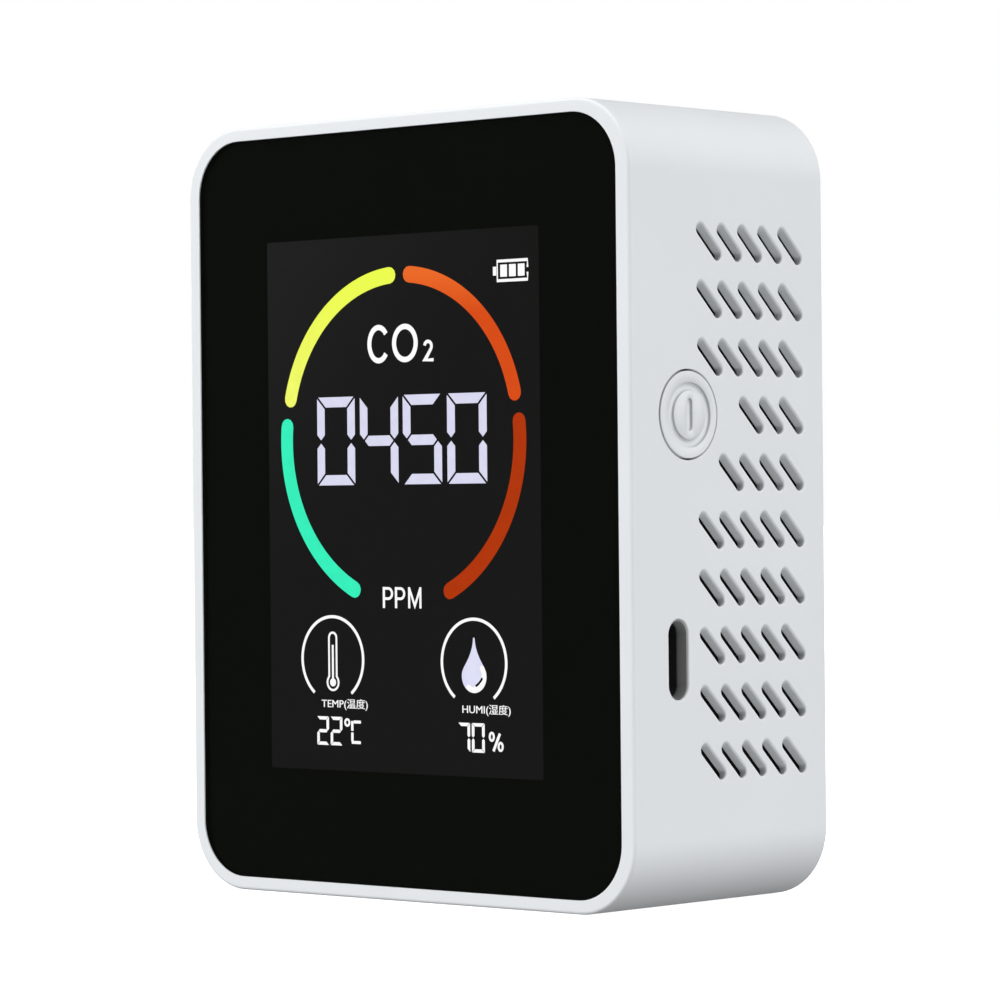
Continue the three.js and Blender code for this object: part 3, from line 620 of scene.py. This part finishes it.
def rear_cover():
    shrink = 2 * (WALL + COVER_GAP)
    width, height, corner = CASE_W - shrink, CASE_H - shrink, CASE_R - shrink / 2
    cover = plate("rear_cover", width, height, corner, COVER_FRONT, COVER_BACK, COVER_EDGE)
    hollow = (width - 2 * COVER_LIP, height - 2 * COVER_LIP, corner - COVER_LIP)
    tools = [stack_data([front_loop(*hollow, depth) for depth in (31, COVER_FLOOR)])]
    recess = (LABEL_W + 0.4, LABEL_H + 0.4, LABEL_R + 0.2)
    tools.append(stack_data([front_loop(*recess, depth, z=LABEL_Z, steps=8) for depth in (LABEL_FLOOR, 37)]))
    tools += [lathe_data(WELL, "y", at) for at in COVER_FIXINGS]
    carve(cover, merged("cover_openings", tools))
    settle(cover, "case_white", ["back_cover"])


rear_cover()


def rating_plate():
    label = plate("rating_plate", LABEL_W, LABEL_H, LABEL_R, 35.6, 35.75, 0.05, z=LABEL_Z, steps=10)
    settle(label, "label_gray", ["rating_label"])


rating_plate()


def rear_screw(index, at):
    seat, length, shank, turns = 34.4, 10.0, 1.15, 14
    profile = [(0, seat - length), (0.4, seat - length + 0.35), (shank * 0.9, seat - length + 1.3)]
    for i in range(turns):
        along = seat - length + 1.6 + i * (length - 2.0) / turns
        profile += [(shank, along), (shank * 0.82, along + 0.28)]
    profile += [(shank, seat - 0.1), (2.3, seat), (2.35, seat + 0.12), (2.33, seat + 0.42)]
    dome = (0.15, 0.4, 0.7, 1.0, 1.25, 1.45)
    profile += [(2.2 * math.cos(t), seat + 0.45 + 0.7 * math.sin(t)) for t in dome]
    profile.append((0, seat + 1.15))
    screw = stack(f"rear_screw_{index}", lathe_loops(profile, "y", at, 40))
    for width, height in ((2.6, 0.55), (0.55, 2.6)):
        stations = ((seat + 0.45, 0.72), (seat + 1.6, 1.1))
        blade = [front_loop(width * k, height * k, 0.12, depth, at[0], at[1], 3) for depth, k in stations]
        carve(screw, stack("driver", blade))
    settle(screw, "steel", [f"cover_screw_{index}"])


for number, fixing in enumerate(COVER_FIXINGS):
    rear_screw(number + 1, fixing)


# ---------------------------------------------------------------- button and port
BUTTON_FACE, BUTTON_EDGE, BUTTON_R = 36.48, 0.12, 5.12
STEM_R, STEM_END = 1.6, 31.35
FLANGE_R, FLANGE_BACK, FLANGE_FRONT = 6.2, 33.6, 35.0
BUTTON_STEPS = 96
MARK_Y, MARK_Z, MARK_BAR_Z = 10.58, 58.0, 58.05
MARK_R, MARK_BAR, MARK_HALF, MARK_DEPTH = 3.34, 3.8, 0.48, 0.42  # ring radius, bar length, half a line


def side_button():
    rim = [(BUTTON_R - inset * BUTTON_EDGE, BUTTON_FACE - along * BUTTON_EDGE) for inset, along in fillet(4)]
    profile = [(0, STEM_END), (STEM_R, STEM_END), (STEM_R, FLANGE_BACK), (FLANGE_R, FLANGE_BACK)]
    profile += [(FLANGE_R, FLANGE_FRONT), (BUTTON_R, FLANGE_FRONT)] + rim[::-1] + [(0, BUTTON_FACE)]
    button = stack("side_button", lathe_loops(profile, "x", (BUTTON_Y, BUTTON_Z), BUTTON_STEPS))
    # The mark's groove as (x, growth): a soft lip at the face, steep walls, and a rounded floor.
    floor_x = BUTTON_FACE - MARK_DEPTH
    soft = [(BUTTON_FACE + 0.3, 0.04), (BUTTON_FACE + 0.002, 0.04), (BUTTON_FACE - 0.04, 0.0)]
    soft += [(floor_x + 0.05, 0.0), (floor_x, -0.05)]
    ring = [(MARK_R + MARK_HALF + growth, x) for x, growth in soft]
    ring += [(MARK_R - MARK_HALF - growth, x) for x, growth in reversed(soft)]
    carve(button, stack("mark_ring", lathe_loops(ring, "x", (MARK_Y, MARK_Z), BUTTON_STEPS), closed=True))
    bar = side_loops(2 * MARK_HALF, MARK_BAR, MARK_HALF - SLIVER, soft, MARK_Y, MARK_BAR_Z, steps=8)
    carve(button, stack("mark_bar", bar))
    settle(button, "button_white", ["power_button"], "button", angle=50, flat=True)


side_button()


def obround_loops(stations):
    """Loops round the port at (x, shrink) stations."""
    loops = []
    for x, shrink in stations:
        size = (PORT_W - 2 * shrink, PORT_L - 2 * shrink, PORT_W / 2 - shrink - SLIVER)
        loops += side_loops(*size, [(x, 0.0)], PORT_Y, PORT_Z, steps=10)
    return loops


def port():
    outer = [(34.75, -0.5), (35.05, -0.5), (35.05, 0.03), (36.24, 0.03), (36.3, 0.08)]
    inner = [(36.3, 0.12), (36.26, 0.17), (36.2, 0.18), (34.75, 0.18)]
    sleeve = stack("port_sleeve", obround_loops(outer + inner), closed=True)
    settle(sleeve, "liner_gray", ["usb_port_liner"], angle=40)
    ring = [(33.05, -0.5), (34.7, -0.5), (34.7, 0.22), (34.66, 0.18), (33.05, 0.18)]
    gasket = stack("port_gasket", obround_loops(ring), closed=True)
    settle(gasket, "foam_black", ["usb_port_gasket"], angle=40)
    fit = 0.1
    outer = [(25.7, fit + 0.25), (25.8, fit), (32.85, fit), (32.97, fit + 0.06)]
    inner = [(33.0, fit + 0.15), (32.94, fit + 0.27), (32.8, fit + 0.3), (26.6, fit + 0.3)]
    settle(stack("port_shell", obround_loops(outer + inner)), "steel", ["usb_socket_shell"], angle=40)
    tongue = side_loops(0.7, 6.6, 0.12, [(26.7, 0), (31.65, 0), (31.9, -0.12)], PORT_Y, PORT_Z)
    settle(stack("port_tongue", tongue), "plastic_black", ["usb_socket_tongue"], angle=40)
    contacts = []
    per_side, pitch, off_centre = 12, 0.5, 0.365
    for side in (-1, 1):
        for i in range(per_side):
            y, z = PORT_Y + side * off_centre, PORT_Z + (i - (per_side - 1) / 2) * pitch
            contacts.append(stack_data(side_loops(0.03, 0.27, 0.01, [(28.1, 0), (31.6, 0)], y, z, steps=1)))
    settle(merged("port_contacts", contacts), "gold_metal", angle=40)


port()


# ---------------------------------------------------------------- display
GLASS_FRONT, GLASS_BACK = 0.15, 0.62
PRINT = (0.63, 0.645)  # front and back of the printed border behind the glass
INK = (0.655, 0.69)  # front and back of the display graphics
SHIFT = -0.5  # the panel sits a little towards the far side of the window
ACTIVE_W, ACTIVE_H, ACTIVE_R = 45.2, 65.1, 0.25
ACTIVE_X, ACTIVE_Z = -0.17 + SHIFT, 47.95


def screen():
    glass = plate("screen_glass", 69.04, 91.58, 6.8, GLASS_FRONT, GLASS_BACK, 0.08, LENS_X)
    settle(glass, "lens_glass", ["display_lens"])
    skirt = GLASS_FRONT + 0.01
    edge = [front_loop(69.07, 91.61, 6.81, depth, LENS_X) for depth in (PRINT[0], skirt)]
    outer = [front_loop(69.16, 91.7, 6.85, depth, LENS_X) for depth in (skirt, PRINT[1])]
    active = (ACTIVE_W, ACTIVE_H, ACTIVE_R)
    window = [front_loop(*active, depth, ACTIVE_X, ACTIVE_Z) for depth in reversed(PRINT)]
    settle(stack("screen_print", edge + outer + window, closed=True), "adhesive_black")


screen()


def prism_data(outline, layer=INK):
    """A thin segment from an outline in x and z."""
    return stack_data([[(x + SHIFT, depth, z) for x, z in outline] for depth in layer])


def ring_data(outer, inner):
    front, back = INK
    sides = ((outer, front), (outer, back), (inner, back), (inner, front))
    loops = [[(x + SHIFT, depth, z) for x, z in line] for line, depth in sides]
    return stack_data(loops, closed=True)


def arc_points(cx, cz, radius, start, end, steps, squash=1.0):
    turns = [math.radians(start + (end - start) * i / steps) for i in range(steps + 1)]
    return [(cx + radius * math.cos(turn) * squash, cz + radius * math.sin(turn)) for turn in turns]


def stroke(points, width, caps=True):
    """The outline of a pen stroke along open points, with round or square ends."""
    half = width / 2
    left, right = [], []
    for i, point in enumerate(points):
        before = Vector(points[max(i - 1, 0)])
        after = Vector(points[min(i + 1, len(points) - 1)])
        here = Vector(point)
        along = (after - before).normalized()
        normal = Vector((-along.y, along.x))
        grow = half
        if 0 < i < len(points) - 1:
            first = (here - before).normalized()
            grow = half / max(math.sqrt((1 + first.dot((after - here).normalized())) / 2), 0.4)
        left.append(tuple(here + normal * grow))
        right.append(tuple(here - normal * grow))
    outline = left
    if caps:
        outline = outline + cap(points[-2], points[-1], half)
    outline = outline + right[::-1]
    if caps:
        outline = outline + cap(points[1], points[0], half)
    return outline


def cap(before, end, half, steps=6):
    """Points round the end of a stroke, from its left side to its right."""
    heading = math.atan2(end[1] - before[1], end[0] - before[0])
    turns = [heading + math.pi / 2 - math.pi * i / steps for i in range(1, steps)]
    return [(end[0] + half * math.cos(t), end[1] + half * math.sin(t)) for t in turns]


def closed_stroke(points, width):
    """The two outlines of a pen stroke round closed counter-clockwise points."""
    outer, inner = [], []
    for i, point in enumerate(points):
        here = Vector(point)
        first = (here - Vector(points[i - 1])).normalized()
        second = (Vector(points[(i + 1) % len(points)]) - here).normalized()
        along = (first + second).normalized()
        step = Vector((along.y, -along.x)) * width / 2 / max(along.dot(first), 0.4)
        outer.append(tuple(here + step))
        inner.append(tuple(here - step))
    return outer, inner


def oval(x, z, width, height, pen, steps=28):
    """A closed ring, measured over its outside."""
    outer, inner = [], []
    for i in range(steps):
        turn = 2 * math.pi * i / steps
        for line, w, h in ((outer, width, height), (inner, width - 2 * pen, height - 2 * pen)):
            line.append((x + w / 2 * math.cos(turn), z + h / 2 * math.sin(turn)))
    return outer, inner


SEGMENTS = {"0": "abcdef", "2": "abdeg", "4": "bcfg", "5": "acdfg", "7": "abc"}


def seven_segment(digit, left, bottom, width, height, pen, gap):
    """Mitred bars of a seven-segment digit."""
    right, top, middle = left + width, bottom + height, bottom + height / 2 - 0.05 * pen
    g = gap / 2

    def bar(kind):
        if kind in "ad":
            outer, inner = (top, top - pen) if kind == "a" else (bottom, bottom + pen)
            return [(left + g, outer), (right - g, outer), (right - g - pen, inner), (left + g + pen, inner)]
        if kind == "g":
            h = pen / 2
            return [
                (left + g + h, middle),
                (left + g + pen, middle + h),
                (right - g - pen, middle + h),
                (right - g - h, middle),
                (right - g - pen, middle - h),
                (left + g + pen, middle - h),
            ]
        outer, inner = (left, left + pen) if kind in "ef" else (right, right - pen)
        sign, end = (1, top) if kind in "bf" else (-1, bottom)
        return [
            (outer, end - sign * g),
            (inner, end - sign * (g + pen)),
            (inner, middle + sign * (g + pen / 2)),
            ((outer + inner) / 2, middle + sign * g),
            (outer, middle + sign * (g + pen / 2)),
        ]

    return [bar(kind) for kind in SEGMENTS[digit]]


def light_up(obj, material):
    obj.data.materials.append(material)
    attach(obj, "case")


def graphic(name, outlines, material, rings=(), layer=INK):
    parts = [prism_data(outline, layer) for outline in outlines]
    parts += [ring_data(*pair) for pair in rings]
    light_up(merged(name, parts), material)


def put_in_order(elements, key):
    """Sorts mesh elements by key, since an extrusion leaves them in an order that varies from run to run."""
    ranks = {element: rank for rank, element in enumerate(sorted(elements, key=key))}
    elements.sort(key=ranks.get)


def lettering(name, text, x0, x1, z0, z1, material):
    """Generic lettering from the built-in font, fitted to a box and made solid."""
    curve = bpy.data.curves.new(name, "FONT")
    curve.body = text
    curve.resolution_u = 3
    holder = bpy.data.objects.new(name + "_type", curve)
    bpy.context.scene.collection.objects.link(holder)
    bpy.context.view_layer.update()
    flat = bpy.data.meshes.new_from_object(holder.evaluated_get(bpy.context.evaluated_depsgraph_get()))
    bpy.data.objects.remove(holder)
    xs = [v.co.x for v in flat.vertices]
    ys = [v.co.y for v in flat.vertices]
    bm = bmesh.new()
    bm.from_mesh(flat)
    bmesh.ops.remove_doubles(bm, verts=bm.verts, dist=1e-5)
    body = bmesh.ops.extrude_face_region(bm, geom=bm.faces[:])
    moved = {v for v in body["geom"] if isinstance(v, bmesh.types.BMVert)}
    for v in bm.verts:
        x = x0 + (v.co.x - min(xs)) / (max(xs) - min(xs)) * (x1 - x0)
        z = z0 + (v.co.y - min(ys)) / (max(ys) - min(ys)) * (z1 - z0)
        v.co = place(x + SHIFT, INK[1] if v in moved else INK[0], z)
    bmesh.ops.recalc_face_normals(bm, faces=bm.faces)
    put_in_order(bm.verts, lambda v: tuple(v.co))
    put_in_order(bm.faces, lambda f: tuple(f.calc_center_median()))
    mesh = bpy.data.meshes.new(name)
    bm.to_mesh(mesh)
    bm.free()
    bpy.data.meshes.remove(flat)
    obj = bpy.data.objects.new(name, mesh)
    bpy.context.scene.collection.objects.link(obj)
    light_up(obj, material)


def display_graphics():
    white = lit("lit_white", (1.0, 1.0, 1.0), 1.55)
    gas_arcs()

    bottom, width, height, pen, gap = 50.3, 6.4, 10.8, 1.25, 0.42
    digits = []
    for digit, left in zip("0450", (-14.3, -7.0, 0.2, 7.5)):
        digits += seven_segment(digit, left, bottom, width, height, pen, gap)
    graphic("gas_reading", digits, lit("lit_digit", (0.8, 0.8, 1.0), 1.38))
    gas_formula(white)
    gas_unit(white)

    lettering("temperature_label", "TEMP(温度)", -14.0, -6.15, 22.8, 24.2, white)
    lettering("humidity_label", "HUMI(湿度)", 9.55, 17.3, 22.68, 24.06, white)

    rings = []
    for x, z in ((-12.05, 29.01), (11.47, 28.96)):
        rings.append(stroke(arc_points(x, z, 5.2, -52.6, 232.6, 64), 0.37, False))
    graphic("icon_rings", rings, white)
    thermometer(white)
    drop(white)
    climate_readings(white)
    battery_icon(white)


def gas_arcs():
    """Four thick strokes round the reading. Each is (x, z, radius, start, end, material)."""
    yellow = lit("lit_yellow", (0.91, 0.99, 0.15), 1.51, (0.87, 1.0, 0.079), (0.062, 0.0757))
    orange = lit("lit_orange", (0.822, 0.087, 0.0077), 1.3, (0.998, 0.17, 0.0226), (0.0705, 0.0757))
    green = lit("lit_green", (0.042, 1.0, 0.57), 1.36)
    red = lit("lit_red", (1.0, 0.081, 0.002), 0.68)
    steps, width = 48, 2.0
    arcs = {
        "arc_yellow": (-0.24, 56.515, 19.17, 94.8, 166.5, yellow),
        "arc_orange": (-0.24, 56.515, 19.17, 85.0, 13.5, orange),
        "arc_green": (0.39, 55.62, 19.99, 174.33, 244.7, green),
        "arc_red": (-0.736, 55.543, 19.91, 5.94, -65.08, red),
    }
    for name, (x, z, radius, start, end, material) in arcs.items():
        graphic(name, [stroke(arc_points(x, z, radius, start, end, steps), width)], material)


def gas_formula(material):
    c_path = arc_points(-3.75, 67.35, 2.02, 37, 323, 28, 0.765)
    two = arc_points(4.47, 66.85, 0.58, 170, -38, 12) + [(3.95, 65.2), (5.35, 65.2)]
    outlines = [stroke(c_path, 0.64, False), stroke(two, 0.4, False)]
    graphic("gas_formula", outlines, material, [oval(0.65, 67.35, 4.25, 4.65, 0.65, 48)])


def gas_unit(material):
    """PPM, drawn in strokes."""
    foot, head = 35.35, 37.9
    outlines = []
    for x in (-3.25, -1.22):
        outlines.append(stroke([(x, foot), (x, head)], 0.34, False))
        bowl = [(x + 0.1, 37.73)] + arc_points(x + 0.75, 37.11, 0.62, 90, -90, 12) + [(x + 0.1, 36.49)]
        outlines.append(stroke(bowl, 0.32, False))
    for x in (0.97, 2.83):
        outlines.append(stroke([(x, foot), (x, head)], 0.31, False))
    outlines.append(stroke([(1.0, 37.75), (1.9, 35.65), (2.8, 37.75)], 0.3, False))
    graphic("gas_unit", outlines, material)


def thermometer(material):
    x, bulb, top, half = -12.02, 26.16, 31.61, 0.64
    outline = arc_points(x, bulb, 0.95, 132, 408, 30)
    outline += [(x + half, 27.5), (x + half, 29.5)] + arc_points(x, top, half, 0, 180, 12)
    outline += [(x - half, 29.5), (x - half, 27.5)]
    shapes = [stroke([(x, 30.75), (x, 28.5), (x, 26.2)], 0.3, False)]
    shapes.append(arc_points(x, bulb, 0.5, 0, 345, 23))
    graphic("thermometer_icon", shapes, material, [closed_stroke(outline, 0.26)])


def drop(material):
    """The drop, with a crescent in front of it and a dark line in front of that."""
    x, z, radius = 11.5, 27.35, 1.98
    flank = [(0.1, 31.95), (0.18, 31.3), (0.3, 30.8), (0.52, 30.2)]
    flank += [(0.85, 29.55), (1.25, 28.95), (1.65, 28.4)]
    outline = [(x - w, v) for w, v in flank]
    outline += arc_points(x, z, radius, 164, 376, 30)
    outline += [(x + w, v) for w, v in reversed(flank)]
    graphic("drop_icon", [outline], lit("lit_drop", (0.79, 0.8, 1.0), 1.45))
    crescent = stroke(arc_points(x, z, 1.62, -125, 38, 20), 0.7)
    graphic("drop_crescent", [crescent], material, layer=(0.6515, 0.6545))
    glint = stroke(arc_points(x - 0.9, z + 1.2, 2.62, -61.5, -34, 8), 0.3)
    dark = grained("drop_ink", (0.004, 0.004, 0.004), 0.8, gloss=0.0)
    graphic("drop_glint", [glint], dark, layer=(0.648, 0.6505))


def climate_readings(material):
    """The two small readings, with their units drawn in strokes and rings."""
    height, pen, gap = 3.5, 0.4, 0.12
    figures = [("2", -14.8, 18.45, 2.0), ("2", -12.5, 18.45, 2.0)]
    figures += [("7", 8.85, 18.3, 1.9), ("0", 11.05, 18.3, 2.05)]
    outlines = []
    for digit, left, bottom, width in figures:
        outlines += seven_segment(digit, left, bottom, width, height, pen, gap)
    x, z = -8.8, 20.2
    lines = [
        [(x + 0.25, z + 1.2), (x + 1.45, z + 1.2)],
        [(x, z + 1.3), (x, z + 0.1)],
        [(x, z - 0.1), (x, z - 1.2)],
        [(x - 0.1, z - 1.3), (x + 1.4, z - 1.3)],
        [(14.5, 18.55), (15.55, 20.65)],
    ]
    outlines += [stroke(line, 0.36, False) for line in lines]
    rings = [oval(-9.65, 21.3, 1.0, 1.05, 0.28)]
    rings += [oval(x, z, 0.95, 1.2, 0.29) for x, z in ((14.25, 20.25), (15.65, 19.1))]
    graphic("climate_readings", outlines, material, rings)


def battery_icon(material):
    left, right, bottom, top = 15.83, 20.63, 74.22, 76.53
    frame_line = [(right, 75.65), (right, top), (left, top), (left, bottom), (right, bottom), (right, 75.08)]
    outlines = [stroke(frame_line, 0.26, False)]
    outlines.append([(15.15, 74.85), (15.66, 74.85), (15.66, 75.9), (15.15, 75.9)])
    for start, end in ((16.32, 17.36), (17.72, 18.76), (19.12, 20.15)):
        outlines.append([(start, 74.66), (end, 74.66), (end, 76.1), (start, 76.1)])
    graphic("battery_icon", outlines, material)


display_graphics()


# ---------------------------------------------------------------- what the frame keeps
for subpart in frame["record"]["subparts"]:
    node = frame["nodes"][subpart["node"]]
    node.data.materials.clear()
    node.data.materials.append(MATERIALS[subpart["material_slot"]])


# ---------------------------------------------------------------- studio
FLOOR_HALF, FLOOR_Z = 6, -5e-5  # a hair under the base, so the two never share a plane


def floor():
    mesh = bpy.data.meshes.new("floor")
    corners = ((-1, -1), (1, -1), (1, 1), (-1, 1))
    mesh.from_pydata([(x * FLOOR_HALF, y * FLOOR_HALF, FLOOR_Z) for x, y in corners], [], [(0, 1, 2, 3)])
    obj = bpy.data.objects.new("floor", mesh)
    bpy.context.scene.collection.objects.link(obj)
    nodes = Nodes("floor_white", (0.9, 0.9, 0.9), 0.8)
    nodes.gloss(0.0)
    nodes.shader.inputs["Emission Color"].default_value = (1, 1, 1, 1)
    nodes.glow(0.9)
    mesh.materials.append(nodes.material)
    obj.visible_glossy = False
    obj.visible_diffuse = False
    obj.visible_shadow = False


floor()


UP_LIGHT, DOWN_LIGHT = 0.85, 0.04
LEFT_LIGHT, RIGHT_LIGHT, FRONT_LIGHT, BACK_LIGHT = 0.6, 0.05, 0.05, 0.38
LEVEL_END, POLE_START = 0.1, 0.6  # heights of a direction between which the sides give way to up and down
MIRRORED_LIGHT, SEEN_LIGHT = 0.1, 1.0


def world():
    """White to the eye. As light: a soft fill, strongest from above and the left, under the softboxes."""
    data = bpy.data.worlds.new("studio")
    bpy.context.scene.world = data
    data.use_nodes = True
    tree = data.node_tree
    graph = Graph(tree)
    x, y, z = graph.split(tree.nodes.new("ShaderNodeTexCoord").outputs["Generated"])
    path = tree.nodes.new("ShaderNodeLightPath")

    def choose(ray, otherwise, value):
        node = tree.nodes.new("ShaderNodeMix")
        tree.links.new(path.outputs[ray], node.inputs["Factor"])
        tree.links.new(otherwise, node.inputs["A"])
        node.inputs["B"].default_value = value
        return node.outputs["Result"]

    around = graph.combine(
        "ADD",
        graph.ramp(x, 0, 1, 0, RIGHT_LIGHT),
        graph.ramp(x, 0, -1, 0, LEFT_LIGHT),
        graph.ramp(y, 0, -1, 0, FRONT_LIGHT),
        graph.ramp(y, 0, 1, 0, BACK_LIGHT),
    )
    level = graph.combine(
        "MULTIPLY", graph.ramp(z, LEVEL_END, POLE_START, 1, 0), graph.ramp(z, -LEVEL_END, -POLE_START, 1, 0)
    )
    strength = graph.combine(
        "ADD",
        graph.ramp(z, LEVEL_END, POLE_START, 0, UP_LIGHT),
        graph.ramp(z, -LEVEL_END, -POLE_START, 0, DOWN_LIGHT),
        graph.combine("MULTIPLY", level, around),
    )
    strength = choose("Is Camera Ray", choose("Is Glossy Ray", strength, MIRRORED_LIGHT), SEEN_LIGHT)
    background = tree.nodes["Background"]
    tree.links.new(strength, background.inputs["Strength"])
    background.inputs["Color"].default_value = (1, 1, 1, 1)


world()


LIGHT_TARGET = Vector((0, 0, 0.05))


def softbox(name, position, size, power):
    """A square light out of the camera's sight, aimed at the monitor."""
    data = bpy.data.lights.new(name, "AREA")
    data.shape = "RECTANGLE"
    data.size = data.size_y = size
    data.energy = power
    obj = bpy.data.objects.new(name, data)
    obj.location = position
    obj.rotation_euler = (LIGHT_TARGET - Vector(position)).to_track_quat("-Z", "Y").to_euler()
    obj.visible_camera = False
    obj.visible_glossy = False
    bpy.context.scene.collection.objects.link(obj)


softbox("front_left_light", (-0.7, -1.1, 0.45), 0.8, 15.9)
softbox("right_high_light", (0.9, 0.1, 0.8), 0.7, 5.6)
softbox("right_low_light", (1.0, -0.14, -0.5), 0.7, 5.5)

scene = bpy.context.scene
scene.view_settings.view_transform = "Standard"
scene.view_settings.look = "None"
